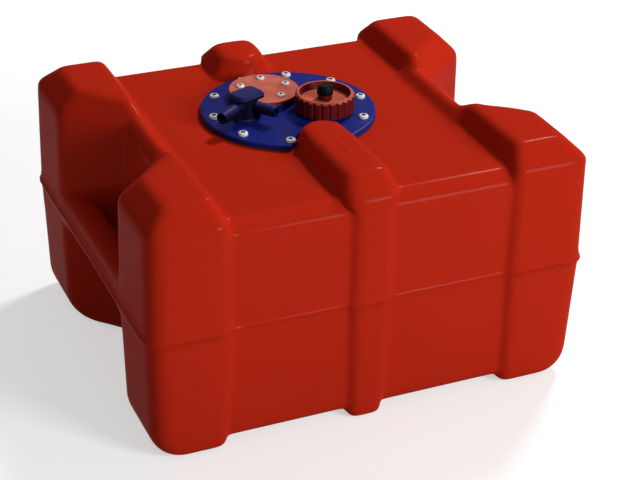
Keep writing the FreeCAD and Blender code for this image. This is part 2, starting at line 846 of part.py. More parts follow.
def build_fixings():
    """Screws and threaded inserts, each set as one group."""
    screw = build_screw("flange_screw", "sizes.screw_head_radius", "sizes.screw_head_height",
                        "sizes.screw_radius", "sizes.screw_length")
    port_screw = build_screw("port_screw", "sizes.port_screw_head", "sizes.port_screw_height",
                             "sizes.port_screw_radius", "sizes.port_screw_length")
    insert = turned("flange_insert", [("sizes.screw_radius + sizes.thread_gap", "-sizes.insert_length"),
                                      ("sizes.insert_radius", "-sizes.insert_length"),
                                      ("sizes.insert_radius", "0"),
                                      ("sizes.screw_radius + sizes.thread_gap", "0")])
    port_insert = turned("port_insert", [("sizes.port_screw_radius + sizes.thread_gap",
                                          "-sizes.port_insert_length"),
                                         ("sizes.port_insert_radius", "-sizes.port_insert_length"),
                                         ("sizes.port_insert_radius", "0"),
                                         ("sizes.port_screw_radius + sizes.thread_gap", "0")])
    cover_top = PORT_TOP + " + sizes.port_gasket + sizes.cover_thickness"
    return [copies("flange_screws", screw, BOLTS, PLATE_TOP),
            copies("flange_inserts", insert, BOLTS, PANEL),
            copies("level_cover_screws", port_screw, PORT_BOLTS, cover_top),
            copies("level_cover_inserts", port_insert, PORT_BOLTS, PORT_TOP)]


def notched_disc(name, radius, low, height):
    disc = cylinder(name + "_disc", "sizes.flange_x", "sizes.flange_y", low, radius, height)
    return cut(name, disc, notch_tool(name + "_notch", "0", low, height))


def build_flange_gasket():
    sheet_form = notched_disc("gasket_form", "sizes.flange_radius", PANEL, "sizes.gasket_thickness")
    window = hatch_tool("gasket_window", "0", PANEL, "sizes.gasket_thickness")
    holes = pillars("gasket_hole", BOLTS, PANEL, "sizes.screw_radius + sizes.hole_gap",
                    "sizes.gasket_thickness")
    return cut("flange_gasket", sheet_form, fuse("gasket_cuts", [window] + holes))


def build_flange_plate():
    """The moulded cover plate with its filler neck, port pedestal, outlet pad and locating rim."""
    plate = notched_disc("plate_form", "sizes.flange_radius", PLATE_BOTTOM, "sizes.flange_thickness")
    top = number(PLATE_TOP)
    reach = number("sizes.flange_radius")

    def radius_of(edge):
        round_edge = edge.Curve.TypeId == "Part::GeomCircle" and abs(edge.Curve.Radius - reach) < 0.1
        return number("sizes.flange_round") if round_edge and near(edge, "z", top, 0.1) else 0.0

    soft = soften("plate_round", plate, radius_of)
    pedestal = cylinder("plate_pedestal", "sizes.port_x", "sizes.port_y", PLATE_TOP + " - 1",
                        "sizes.port_radius", "sizes.port_rise + 1")
    neck = cylinder("plate_neck", "sizes.filler_x", "sizes.filler_y", PLATE_BOTTOM + " - sizes.neck_depth",
                    "sizes.neck_radius", "sizes.neck_depth + sizes.flange_thickness + sizes.neck_height")
    rim = cut("plate_rim", hatch_tool("rim_outer", "sizes.rim_gap", PLATE_BOTTOM + " - sizes.rim_depth",
                                      "sizes.rim_depth + 1"),
              hatch_tool("rim_inner", "(sizes.rim_gap + sizes.rim_width)",
                         PLATE_BOTTOM + " - sizes.rim_depth",
                         "sizes.rim_depth"))
    body = fuse("plate_body", [soft, pedestal, neck, rim])
    height = "sizes.flange_thickness + sizes.port_rise"
    cuts = pillars("plate_hole", BOLTS, PLATE_BOTTOM, "sizes.screw_radius + sizes.hole_gap",
                   "sizes.flange_thickness")
    cuts += pillars("plate_pocket", PORT_BOLTS, PORT_TOP + " - sizes.port_screw_length",
                    "sizes.port_screw_radius + 2 * sizes.thread_gap",
                    "sizes.port_screw_length")
    cuts += pillars("plate_seat", PORT_BOLTS, PORT_TOP + " - sizes.port_insert_length",
                    "sizes.port_insert_radius",
                    "sizes.port_insert_length")
    cuts.append(cylinder("plate_port", "sizes.port_x", "sizes.port_y", PLATE_BOTTOM, "sizes.port_bore",
                         height))
    cuts.append(cylinder("plate_throat", "sizes.filler_x", "sizes.filler_y",
                         PLATE_BOTTOM + " - sizes.neck_depth",
                         "sizes.throat_radius", "2 * (sizes.neck_depth + sizes.neck_height)"))
    cuts.append(cylinder("plate_spigot", "sizes.outlet_x", "sizes.outlet_y", PLATE_BOTTOM,
                         "sizes.spigot_radius + sizes.thread_gap", "sizes.flange_thickness"))
    return cut("flange_plate", body, fuse("plate_cuts", cuts))


def build_level_cover():
    """The blank cover of the sender port and its gasket."""
    low = PORT_TOP + " + sizes.port_gasket"
    gasket = cut("level_cover_gasket",
                 cylinder("cover_gasket_disc", "sizes.port_x", "sizes.port_y", PORT_TOP, "sizes.port_radius",
                          "sizes.port_gasket"),
                 fuse("cover_gasket_cuts",
                      [cylinder("cover_gasket_bore", "sizes.port_x", "sizes.port_y", PORT_TOP,
                                                     "sizes.port_bore", "sizes.port_gasket")]
                      + pillars("cover_gasket_hole", PORT_BOLTS, PORT_TOP,
                                "sizes.port_screw_radius + sizes.hole_gap",
                                "sizes.port_gasket")))
    disc = cylinder("cover_disc", "sizes.port_x", "sizes.port_y", low, "sizes.port_radius",
                    "sizes.cover_thickness")
    top = number(low + " + sizes.cover_thickness")
    soft = soften("cover_round", disc,
                  lambda edge: number("sizes.cover_round") + 0.01 if near(edge, "z", top, 0.1) else 0.0)
    holes = fuse("cover_holes", pillars("cover_hole", PORT_BOLTS, low,
                                        "sizes.port_screw_radius + sizes.hole_gap",
                                        "sizes.cover_thickness"))
    return [gasket, cut("level_cover", soft, holes)]


def build_cap():
    """The filler cap: a fluted skirt round a dished floor, with a boss for the vent screw."""
    skirt = "(%s + sizes.cap_lift)" % PLATE_TOP
    top = "(%s + sizes.cap_height)" % skirt
    floor = "(%s - sizes.dish_depth)" % top
    under = "(%s - sizes.cap_floor)" % floor
    bore = "(sizes.neck_radius + sizes.cap_clearance)"
    form = turned("cap_form", [(bore, skirt), ("sizes.cap_radius", skirt),
                               ("sizes.cap_radius", top + " - sizes.cap_round"),
                               ("sizes.cap_radius - sizes.cap_round", top),
                               ("sizes.dish_radius + sizes.cap_round", top),
                               ("sizes.dish_radius", floor),
                               ("sizes.vent_boss_radius", floor),
                               ("sizes.vent_boss_radius", floor + " + sizes.vent_boss_height"),
                               ("sizes.vent_stem_radius + sizes.thread_gap",
                                floor + " + sizes.vent_boss_height"),
                               ("sizes.vent_stem_radius + sizes.thread_gap", under + " + sizes.vent_land"),
                               ("sizes.vent_hole_radius", under + " + sizes.vent_land"),
                               ("sizes.vent_hole_radius", under), (bore, under)])
    sketch = circle(new_sketch(form, "cap_flute_plan", level=top),
                    "sizes.cap_radius + sizes.flute_radius - sizes.flute_reach",
                    "0", "sizes.flute_radius")
    flute = form.newObject("PartDesign::Pocket", "cap_flute")
    flute.Profile = sketch
    flute.setExpression("Length", "sizes.cap_height")
    doc.recompute()
    spread(form, "cap_flutes", flute, "sizes.flute_count")
    return place(labelled(form, "filler_cap"), "sizes.filler_x", "sizes.filler_y")


def labelled(item, label):
    item.Label = label
    return item


def spread(body, name, feature, count):
    """Repeats a cut all round the body's axis."""
    pattern = body.newObject("PartDesign::PolarPattern", name)
    pattern.Originals = [feature]
    pattern.Axis = (plane(body, "Z_Axis"), [""])
    pattern.Angle = 360
    pattern.setExpression("Occurrences", count)
    body.Tip = pattern
    doc.recompute()
    return pattern


def build_cap_fittings():
    """The gasket under the cap, the vent screw with its knob, and the seal at its tip."""
    skirt = "(%s + sizes.cap_lift)" % PLATE_TOP
    floor = "(%s + sizes.cap_height - sizes.dish_depth)" % skirt
    under = "(%s - sizes.cap_floor)" % floor
    seat = "(%s + sizes.vent_land + sizes.lip_gap)" % under
    tip = "(%s + sizes.vent_seal_height)" % seat
    boss = "(%s + sizes.vent_boss_height)" % floor
    low = "(%s + sizes.lip_gap)" % NECK_TOP
    gasket = ring("cap_gasket", "sizes.filler_x", "sizes.filler_y", "sizes.throat_radius + 1",
                  "sizes.neck_radius - 0.4",
                  low, low + " + sizes.lip_gasket")
    seal = turned("vent_seal", [("0", seat), ("sizes.vent_stem_radius - sizes.lip_gap", seat),
                                ("sizes.vent_stem_radius - sizes.lip_gap", tip), ("0", tip)])
    place(seal, "sizes.filler_x", "sizes.filler_y")
    stem_low = tip + " + sizes.lip_gap"
    knob_low = "(%s + sizes.lip_gap)" % boss
    knob_top = "(%s + sizes.knob_height)" % knob_low
    screw = turned("vent_screw", [("0", stem_low), ("sizes.vent_stem_radius", stem_low),
                                  ("sizes.vent_stem_radius", knob_low), ("sizes.knob_radius", knob_low),
                                  ("sizes.knob_radius", knob_low + " + sizes.knob_height * 0.3"),
                                  ("sizes.knob_waist", knob_top + " - 1"), ("sizes.knob_waist - 1", knob_top),
                                  ("0", knob_top)])
    sketch = circle(new_sketch(screw, "knob_flute_plan", level=knob_top), "sizes.knob_radius", "0",
                    "sizes.knob_flute_radius")
    flute = screw.newObject("PartDesign::Pocket", "knob_flute")
    flute.Profile = sketch
    flute.setExpression("Length", "sizes.knob_height")
    doc.recompute()
    spread(screw, "knob_flutes", flute, "sizes.knob_flutes")
    place(screw, "sizes.filler_x", "sizes.filler_y")
    return [gasket, seal, screw]


def hose_tail(name, turn, length, radius):
    """A ribbed hose tail, turned about its own axis and laid over to its bearing."""
    corners = [("0", "0"), (radius, "0")]
    count = 4
    for index in range(count):
        low = "%s - %d * sizes.barb_pitch" % (length, count - index)
        corners.append((radius, low))
        corners.append((radius + " + sizes.barb_rise", low))
        corners.append((radius, low + " + sizes.barb_pitch * 0.9"))
    corners += [(radius, length), ("0", length)]
    body = turned(name, corners)
    place(body, "sizes.outlet_x", "sizes.outlet_y", "sizes.tail_level")
    aim(body, turn)
    return body


def aim(body, turn):
    """Lays a body's own Z axis over to the level bearing given."""
    body.setExpression("Placement.Rotation.Axis.x", "-sin(%s * 1 deg)" % turn)
    body.setExpression("Placement.Rotation.Axis.y", "cos(%s * 1 deg)" % turn)
    body.setExpression("Placement.Rotation.Axis.z", "0")
    body.setExpression("Placement.Rotation.Angle", "90 deg")
    doc.recompute()


def bore_along(name, turn, length, radius):
    body = turned(name, [("0", "0"), (radius, "0"), (radius, length + " + 1"), ("0", length + " + 1")])
    place(body, "sizes.outlet_x", "sizes.outlet_y", "sizes.tail_level")
    aim(body, turn)
    return body


def web(name, turn, length):
    """An upright web under a hose tail."""
    body = new_body(name)
    half = "sizes.web_width / 2"
    sketch = outline(new_sketch(body, name + "_plan", level=PLATE_TOP + " + sizes.outlet_seal"),
                     [("0", "-" + half), (length + " * 0.45", "-" + half), (length + " * 0.45", half),
                      ("0", half)])
    pad(body, name + "_pad", sketch, "sizes.tail_level - %s - sizes.outlet_seal" % PLATE_TOP)
    place(body, "sizes.outlet_x", "sizes.outlet_y")
    body.setExpression("Placement.Rotation.Angle", "%s * 1 deg" % turn)
    doc.recompute()
    return body


def build_outlet():
    """The fuel outlet: a head with two hose tails, its seal, back nut, plug and check ball."""
    base = "(%s + sizes.outlet_seal)" % PLATE_TOP
    head_top = "(%s + sizes.outlet_height)" % base
    spigot = "(%s - sizes.spigot_drop)" % base
    nipple = "(%s - sizes.nipple_length)" % spigot
    seat = "(%s + 4)" % spigot
    rest = ("(%s + sqrt(sizes.ball_radius * sizes.ball_radius - sizes.ball_seat * sizes.ball_seat)"
            " + sizes.lip_gap)" % seat)
    roof = "(%s + sizes.ball_radius + sizes.ball_travel + sizes.lip_gap)" % rest
    plug_low = "(%s - sizes.plug_stem_length)" % head_top
    head = turned("outlet_body", [("0", nipple), ("sizes.nipple_radius", nipple),
                                  ("sizes.nipple_radius", spigot),
                                  ("sizes.spigot_radius", spigot), ("sizes.spigot_radius", base),
                                  ("sizes.outlet_radius", base), ("sizes.outlet_radius", head_top),
                                  ("0", head_top)])
    place(head, "sizes.outlet_x", "sizes.outlet_y")
    left = hose_tail("tail_left", "sizes.tail_left_turn", "sizes.tail_left_length", "sizes.tail_left_radius")
    right = hose_tail("tail_right", "sizes.tail_right_turn", "sizes.tail_right_length",
                      "sizes.tail_right_radius")
    webs = [web("web_left", "sizes.tail_left_turn", "sizes.tail_left_length"),
            web("web_right", "sizes.tail_right_turn", "sizes.tail_right_length")]
    chamber = turned("outlet_chamber", [("0", nipple), ("sizes.nipple_radius - 1.2", nipple),
                                        ("sizes.nipple_radius - 1.2", seat + " - 1"),
                                        ("sizes.ball_seat", seat + " - 1"),
                                        ("sizes.ball_seat", seat), ("sizes.chamber_radius", seat),
                                        ("sizes.chamber_radius", roof),
                                        ("sizes.duct_radius", roof + " + 1.5"),
                                        ("sizes.duct_radius", plug_low), ("sizes.plug_stem", plug_low),
                                        ("sizes.plug_stem", head_top), ("0", head_top)])
    place(chamber, "sizes.outlet_x", "sizes.outlet_y")
    bores = [bore_along("bore_left", "sizes.tail_left_turn", "sizes.tail_left_length",
                        "sizes.tail_left_radius - 2.2"),
             bore_along("bore_right", "sizes.tail_right_turn", "sizes.tail_right_length",
                        "sizes.tail_right_radius - 2.0")]
    body = cut("outlet_head", fuse("outlet_solid", [head, left, right] + webs),
               fuse("outlet_cuts", [chamber] + bores))
    seal = ring("outlet_seal", "sizes.outlet_x", "sizes.outlet_y", "sizes.spigot_radius + sizes.thread_gap",
                "sizes.outlet_radius", PLATE_TOP, base)
    nut_low = PLATE_BOTTOM + " - sizes.nut_height"
    nut = new_body("outlet_nut")
    corners = [("sizes.nut_radius * cos(%d deg)" % (60 * index),
                "sizes.nut_radius * sin(%d deg)" % (60 * index))
               for index in range(6)]
    sketch = outline(new_sketch(nut, "nut_plan", level=nut_low), corners)
    circle(sketch, "0", "0", "sizes.spigot_radius + sizes.thread_gap")
    pad(nut, "nut_pad", sketch, "sizes.nut_height")
    place(nut, "sizes.outlet_x", "sizes.outlet_y")
    ball = doc.addObject("Part::Sphere", "check_ball")
    ball.setExpression("Radius", "sizes.ball_radius")
    place(ball, "sizes.outlet_x", "sizes.outlet_y", rest)
    return [body, seal, nut, ball] + build_plug(head_top, plug_low)


def build_plug(head_top, plug_low):
    """The bevelled plug on top of the outlet head and the sealing ring on its stem."""
    plate = new_body("outlet_plate")
    length = "sizes.plug_length / 2"
    width = "sizes.plug_width / 2"
    corners = [("-" + length, "-" + width, "sizes.plug_width * 0.3"),
               (length, "-" + width, "sizes.plug_width * 0.3"),
               (length, width, "sizes.plug_width * 0.3"), ("-" + length, width, "sizes.plug_width * 0.3")]
    sketch = outline(new_sketch(plate, "plug_plan", level=head_top), corners)
    pad(plate, "plug_pad", sketch, "sizes.plug_height")
    bevel(plate, "plug_chamfer", lambda edge: True, "sizes.plug_chamfer", "sizes.plug_chamfer")
    place(plate, "sizes.outlet_x", "sizes.outlet_y")
    plate.setExpression("Placement.Rotation.Angle", "sizes.plug_turn * 1 deg")
    groove = "%s + sizes.plug_stem_length / 2 - sizes.ring_section" % plug_low
    bottom = "sizes.plug_stem - 2 * sizes.ring_section"
    stem_radius = "sizes.plug_stem - sizes.thread_gap"
    stem = turned("plug_stem_form", [("0", plug_low + " + 0.5"), (stem_radius, plug_low + " + 0.5"),
                                     (stem_radius, groove),
                                     (bottom, groove), (bottom, groove + " + 2 * sizes.ring_section"),
                                     (stem_radius, groove + " + 2 * sizes.ring_section"),
                                     (stem_radius, head_top + " + 1"), ("0", head_top + " + 1")])
    place(stem, "sizes.outlet_x", "sizes.outlet_y")
    seal = doc.addObject("Part::Torus", "outlet_cap_seal")
    seal.setExpression("Radius1", "sizes.plug_stem - sizes.ring_section")
    seal.setExpression("Radius2", "sizes.ring_section - 0.02")
    place(seal, "sizes.outlet_x", "sizes.outlet_y", groove + " + sizes.ring_section")
    return [fuse("outlet_cap", [plate, stem]), seal]


def build_pickup():
    """The pickup tube pushed on the outlet's nipple, with a slotted strainer at its foot."""
    spigot = "(%s + sizes.outlet_seal - sizes.spigot_drop)" % PLATE_TOP
    tube = ring("pickup_tube", "sizes.outlet_x", "sizes.outlet_y", "sizes.tube_bore", "sizes.tube_radius",
                "sizes.tube_end", spigot)
    low = "(sizes.belly_rise + sizes.wall + sizes.strainer_gap)"
    top = "(%s + sizes.strainer_height)" % low
    inner = "(sizes.strainer_radius - sizes.strainer_wall)"
    cup = turned("pickup_strainer", [("0", low), ("sizes.strainer_radius", low),
                                     ("sizes.strainer_radius", top),
                                     ("sizes.tube_radius + sizes.thread_gap", top),
                                     ("sizes.tube_radius + sizes.thread_gap", "sizes.tube_end"),
                                     (inner, "sizes.tube_end"), (inner, low + " + sizes.strainer_wall"),
                                     ("0", low + " + sizes.strainer_wall")])
    half = "sizes.slot_width / 2"
    sketch = new_sketch(cup, "slot_plan", level="sizes.tube_end - 2")
    outline(sketch, [("sizes.strainer_radius / 2", "-" + half), ("2 * sizes.strainer_radius", "-" + half),
                     ("2 * sizes.strainer_radius", half), ("sizes.strainer_radius / 2", half)])
    slot = cup.newObject("PartDesign::Pocket", "strainer_slot")
    slot.Profile = sketch
    slot.setExpression("Length", "sizes.tube_end - 2 - %s - 2 * sizes.strainer_wall" % low)
    doc.recompute()
    spread(cup, "strainer_slots", slot, "sizes.strainer_slots")
    place(cup, "sizes.outlet_x", "sizes.outlet_y")
    return [tube, cup]


def export(nodes):
    """Writes each node once every object in the document has proved sound."""
    for item in doc.Objects:
        if "Invalid" in item.State or "Error" in item.State:
            raise RuntimeError("%s is %s" % (item.Label, item.State))
    for node in nodes:
        if node.Shape.isNull() or not node.Shape.isValid():
            raise RuntimeError("%s has no valid shape" % node.Label)
    os.makedirs("parts", exist_ok=True)
    for node in nodes:
        node.Shape.exportStep("parts/%s.step" % node.Label)


nodes = [build_tank(), build_flange_gasket(), build_flange_plate(), build_cap()]
nodes += build_fixings() + build_level_cover() + build_cap_fittings() + build_outlet() + build_pickup()
doc.recompute()
export(nodes)
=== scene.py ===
import bmesh
import bpy
import math
from mathutils import Matrix, Vector


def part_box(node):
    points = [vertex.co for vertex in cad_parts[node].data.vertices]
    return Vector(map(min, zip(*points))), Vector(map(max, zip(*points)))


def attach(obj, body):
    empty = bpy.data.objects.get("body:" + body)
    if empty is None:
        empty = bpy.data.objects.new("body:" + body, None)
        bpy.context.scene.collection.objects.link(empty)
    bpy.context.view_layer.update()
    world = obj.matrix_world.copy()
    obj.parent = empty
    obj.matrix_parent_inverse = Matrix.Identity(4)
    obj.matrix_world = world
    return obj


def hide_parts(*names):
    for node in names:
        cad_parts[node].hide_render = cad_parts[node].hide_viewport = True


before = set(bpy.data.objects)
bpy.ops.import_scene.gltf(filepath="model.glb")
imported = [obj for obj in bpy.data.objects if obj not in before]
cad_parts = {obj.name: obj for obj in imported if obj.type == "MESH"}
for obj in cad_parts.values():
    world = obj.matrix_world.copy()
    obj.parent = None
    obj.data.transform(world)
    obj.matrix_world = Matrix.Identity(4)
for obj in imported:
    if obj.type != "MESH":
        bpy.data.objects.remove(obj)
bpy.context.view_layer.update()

# Tank shell.
# One hollow moulding in red polyethylene, made in a two-part mould whose parting line shows as
# a thin bead all round. Its skin is satin, with the faint orange peel that such a mould leaves.


def combined(tree, operation, *values):
    """A Math node; each value is a socket to link or a plain number."""
    node = tree.nodes.new("ShaderNodeMath")
    node.operation = operation
    for slot, value in zip(node.inputs, values):
        if isinstance(value, bpy.types.NodeSocket):
            tree.links.new(value, slot)
        else:
            slot.default_value = value
    return node.outputs[0]


def noise(tree, scale, detail):
    """Noise in the piece's own coordinates."""
    where = tree.nodes.new("ShaderNodeTexCoord")
    node = tree.nodes.new("ShaderNodeTexNoise")
    node.inputs["Scale"].default_value = scale
    node.inputs["Detail"].default_value = detail
    tree.links.new(where.outputs["Object"], node.inputs["Vector"])
    return node.outputs["Fac"]


def remapped(tree, value, **limits):
    """A value moved to new limits, given as From_Min, From_Max, To_Min or To_Max."""
    node = tree.nodes.new("ShaderNodeMapRange")
    for limit, number in limits.items():
        node.inputs[limit.replace("_", " ")].default_value = number
    tree.links.new(value, node.inputs["Value"])
    return node.outputs["Result"]


def new_group(name, takes, gives):
    """A node group with its sockets, each given by its name and kind."""
    group = bpy.data.node_groups.new(name, "ShaderNodeTree")
    for label, kind in takes.items():
        group.interface.new_socket(label, in_out="INPUT", socket_type="NodeSocket" + kind)
    for label, kind in gives.items():
        group.interface.new_socket(label, in_out="OUTPUT", socket_type="NodeSocket" + kind)
    return group, group.nodes.new("NodeGroupInput").outputs, group.nodes.new("NodeGroupOutput").inputs


def moulded_skin_group():
    """Moulded skin: soft cloudiness of colour and of gloss, and fine orange peel."""
    group, given, wanted = new_group("moulded_skin", {"Colour": "Color", "Cloud": "Float", "Gloss": "Float"},
                                     {"Colour": "Color", "Roughness": "Float", "Height": "Float"})
    shade = combined(group, "SUBTRACT", noise(group, 9.0, 4.0), 0.5)
    shade = combined(group, "MULTIPLY", shade, given["Cloud"])
    shade = combined(group, "ADD", shade, 1.0)
    tone = group.nodes.new("ShaderNodeVectorMath")
    tone.operation = "SCALE"
    group.links.new(given["Colour"], tone.inputs[0])
    group.links.new(shade, tone.inputs["Scale"])
    group.links.new(tone.outputs[0], wanted["Colour"])
    smear = combined(group, "MULTIPLY_ADD", noise(group, 35.0, 3.0), 0.14, given["Gloss"])
    group.links.new(smear, wanted["Roughness"])
    peel = combined(group, "ADD", noise(group, 420.0, 2.0), noise(group, 70.0, 2.0))
    group.links.new(peel, wanted["Height"])
    return group


MOULDED_SKIN = moulded_skin_group()


def plastic(name, colour, gloss, cloud, depth=0.00004, coat=0.0, specular=0.5):
    """A moulded plastic: colour, gloss as a roughness, cloudiness and the depth of its skin."""
    material = bpy.data.materials.new(name)
    material.use_nodes = True
    nodes, links = material.node_tree.nodes, material.node_tree.links
    shader = nodes["Principled BSDF"]
    skin = nodes.new("ShaderNodeGroup")
    skin.name = "skin"
    skin.node_tree = MOULDED_SKIN
    skin.inputs["Colour"].default_value = (*colour, 1.0)
    skin.inputs["Cloud"].default_value = cloud
    skin.inputs["Gloss"].default_value = gloss - 0.07
    bump = nodes.new("ShaderNodeBump")
    bump.inputs["Distance"].default_value = depth
    links.new(skin.outputs["Height"], bump.inputs["Height"])
    links.new(skin.outputs["Colour"], shader.inputs["Base Color"])
    links.new(skin.outputs["Roughness"], shader.inputs["Roughness"])
    links.new(bump.outputs["Normal"], shader.inputs["Normal"])
    shader.inputs["Specular IOR Level"].default_value = specular
    shader.inputs["Coat Weight"].default_value = coat
    shader.inputs["Coat Roughness"].default_value = 0.12
    return material


def finish_node(name, material):
    """Gives a carried-over CAD piece its finish."""
    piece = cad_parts[name]
    piece.data.materials.clear()
    piece.data.materials.append(material)


def settled(mesh, name, dress):
    """The mesh with the modifiers that dress adds to it."""
    piece = bpy.data.objects.new(name, mesh)
    bpy.context.scene.collection.objects.link(piece)
    dress(piece)
    finished = bpy.data.meshes.new_from_object(piece.evaluated_get(bpy.context.evaluated_depsgraph_get()))
    bpy.data.objects.remove(piece)
    return finished


def even_mesh(piece):
    """An even net of small faces, which the next steps can move."""
    even = piece.modifiers.new("even", "REMESH")
    even.mode = "VOXEL"
    even.voxel_size = 0.0030


def flow_soft(piece):
    """The soft run of plastic over the mould's edges."""
    soft = piece.modifiers.new("soft", "SMOOTH")
    soft.factor = 0.5
    soft.iterations = 14
    thin = piece.modifiers.new("thin", "DECIMATE")
    thin.ratio = 0.38


def clamped(value):
    """The value held between 0 and 1."""
    return max(0.0, min(1.0, value))


PANEL_LEVEL = 0.267
FOOT_BLEND = 0.0055
RIB_RISE = 0.025
RIB_REACH = 0.062
RIB_FOOT_HALF = 0.0206
RIB_TAPER = 0.0024


def spread_rib(vert, middle, shift, crest_gain, base_gain, share):
    """Moves a point of a top rib, or of the panel beside it, out from the rib's middle line."""
    height = clamped((vert.co.z - PANEL_LEVEL) / RIB_RISE)
    half = RIB_FOOT_HALF - RIB_TAPER * height
    wider = half + (base_gain + (crest_gain - base_gain) * height) * share
    side = vert.co.x - middle
    away = abs(side)
    if away >= RIB_REACH:
        return
    if away < half:
        moved = away * wider / half
    else:
        moved = wider + (away - half) * (RIB_REACH - wider) / (RIB_REACH - half)
    pull = shift * share * clamped((RIB_REACH - away) / 0.02)
    vert.co.x = middle + math.copysign(moved, side) + pull


FRONT_RIB_END = -0.044
BACK_RIB_END = 0.125


def spread_ribs(shape):
    """Widens the two top ribs where they run out onto the panel."""
    for vert in shape.verts:
        if vert.co.z < PANEL_LEVEL - FOOT_BLEND:
            continue
        share = clamped((vert.co.z - PANEL_LEVEL + FOOT_BLEND) / 0.005)
        if vert.co.y < FRONT_RIB_END:
            front = clamped((vert.co.y + 0.206) / 0.022)
            flare = clamped((-0.052 - vert.co.y) / 0.040)
            spread_rib(vert, -0.006, 0.0015, 0.0035 + 0.0030 * front, 0.0045 + 0.0050 * flare, share)
        elif vert.co.y > BACK_RIB_END:
            spread_rib(vert, -0.012, -0.0035, 0.0065, 0.0140, share)


FLANGE_MIDDLE = (-0.006, 0.027)
SWELL = 0.0025
GRIP_SWELL_LOSS = 0.0015


def swell(skin):
    """Blown walls stand proud, but not under the plate and little at the handle bars."""
    skin.normal_update()
    for vert in skin.verts:
        growth = SWELL
        if vert.co.z > 0.255:
            from_flange = math.hypot(vert.co.x - FLANGE_MIDDLE[0], vert.co.y - FLANGE_MIDDLE[1])
            growth *= clamped((from_flange - 0.108) / 0.03)
        at_grip = clamped((abs(vert.co.x) - 0.15) / 0.04) * clamped((0.10 - abs(vert.co.y)) / 0.02)
        vert.co += vert.normal * (growth - GRIP_SWELL_LOSS * at_grip * growth / SWELL)


def stand_on_floor(skin):
    """Sets the feet back to the floor, and leaves what is above them."""
    sink = min(vert.co.z for vert in skin.verts)
    for vert in skin.verts:
        vert.co.z -= sink * clamped(1.0 - vert.co.z / 0.02)


PARTING_LEVEL = 0.149
BEAD_STEPS = {-0.0030: 0.0, -0.0017: 0.0009, 0.0: 0.0014, 0.0017: 0.0009, 0.0030: 0.0}


def raise_bead(skin):
    """The parting line of the two mould halves: a low round bead at mid height."""
    for step in BEAD_STEPS:
        bmesh.ops.bisect_plane(skin, geom=skin.verts[:] + skin.edges[:] + skin.faces[:], dist=0.00002,
                               plane_co=(0.0, 0.0, PARTING_LEVEL + step), plane_no=(0.0, 0.0, 1.0))
    skin.normal_update()
    for vert in skin.verts:
        for step, rise in BEAD_STEPS.items():
            if abs(vert.co.z - PARTING_LEVEL - step) < 0.00003:
                vert.co += Vector((vert.normal.x, vert.normal.y, 0.0)) * rise


def as_mesh(shape, name):
    """Ends the editing of a shape and gives its mesh."""
    mesh = bpy.data.meshes.new(name)
    shape.to_mesh(mesh)
    shape.free()
    return mesh


tank_red = plastic("tank_red", (0.455, 0.0190, 0.0060), 0.34, cloud=0.08, coat=0.03, specular=0.002)
solid = bmesh.new()
solid.from_mesh(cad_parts["tank_shell"].data)
bmesh.ops.remove_doubles(solid, verts=solid.verts, dist=0.00001)
shape = bmesh.new()
shape.from_mesh(settled(as_mesh(solid, "tank_copy"), "tank_even", even_mesh))
spread_ribs(shape)
skin = bmesh.new()
skin.from_mesh(settled(as_mesh(shape, "tank_wide"), "tank_flow", flow_soft))
swell(skin)
stand_on_floor(skin)
raise_bead(skin)
for face in skin.faces:
    face.smooth = True
tank_mesh = as_mesh(skin, "tank_moulding")
tank = bpy.data.objects.new("tank_moulding", tank_mesh)
bpy.context.scene.collection.objects.link(tank)
tank_mesh.materials.append(tank_red)
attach(tank, "tank")
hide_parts("tank_shell")
finish_node("tank_shell", tank_red)

# Flange inserts.
# Turned brass threads, moulded into the bosses under the panel, one for each plate screw.


def mixed(tree, factor, first, second):
    """A Mix of two colours, each a socket or a plain colour."""
    node = tree.nodes.new("ShaderNodeMix")
    node.data_type = "RGBA"
    tree.links.new(factor, node.inputs["Factor"])
    for slot, colour in (("A", first), ("B", second)):
        if isinstance(colour, bpy.types.NodeSocket):
            tree.links.new(colour, node.inputs[slot])
        else:
            node.inputs[slot].default_value = (*colour, 1.0)
    return node.outputs["Result"]


def metal(name, colour, roughness, shine=1.0):
    """A bare metal with fine turned marks in its colour and gloss."""
    material = bpy.data.materials.new(name)
    material.use_nodes = True
    tree = material.node_tree
    shader = tree.nodes["Principled BSDF"]
    grain = noise(tree, 180.0, 5.0)
    gloss = remapped(tree, grain, To_Min=roughness - 0.06, To_Max=roughness + 0.10)
    tree.links.new(gloss, shader.inputs["Roughness"])
    tone = mixed(tree, grain, [part * 0.85 for part in colour], colour)
    tree.links.new(tone, shader.inputs["Base Color"])
    bump = tree.nodes.new("ShaderNodeBump")
    bump.inputs["Distance"].default_value = 0.00001
    tree.links.new(grain, bump.inputs["Height"])
    tree.links.new(bump.outputs["Normal"], shader.inputs["Normal"])
    shader.inputs["Metallic"].default_value = shine
    return material


brass = metal("insert_brass", (0.62, 0.42, 0.16), 0.35)
finish_node("flange_inserts", brass)

# Flange gasket.
# A flat ring of black fuel-proof rubber, cut from sheet, which lies on the panel around the
# hatch and is squeezed by the plate.

rubber = plastic("gasket_rubber", (0.018, 0.018, 0.019), 0.62, cloud=0.3, depth=0.00005)
finish_node("flange_gasket", rubber)

# Flange plate.
# The blue nylon plate that closes the hatch. The filler neck, the port's pedestal and the rim
# that centres it are moulded in one with it, and nine screws hold it down.

plate_blue = plastic("plate_blue", (0.008, 0.015, 0.180), 0.36, cloud=0.16, specular=0.10)
finish_node("flange_plate", plate_blue)

# Flange screws.
# Nine stainless pan-head screws with a cross recess, driven through the plate and the gasket
# into the brass inserts. Their heads are an almost unmetallic near-white, partly the steel's own
# pale colour and partly a painted glint. The tenth place is lost to the notch around the front rib.

# Painted glint: a near-white colour with little metal sheen, so that the heads read white as a glint would.
stainless_painted_glint = metal("screw_stainless_painted_glint", (0.95, 0.95, 0.93), 0.20, shine=0.2)
# Painted shade: the cross recess takes a near-black metal that stands in for the shade inside it.
recess_painted_shade = metal("screw_recess_painted_shade", (0.015, 0.015, 0.015), 0.5)


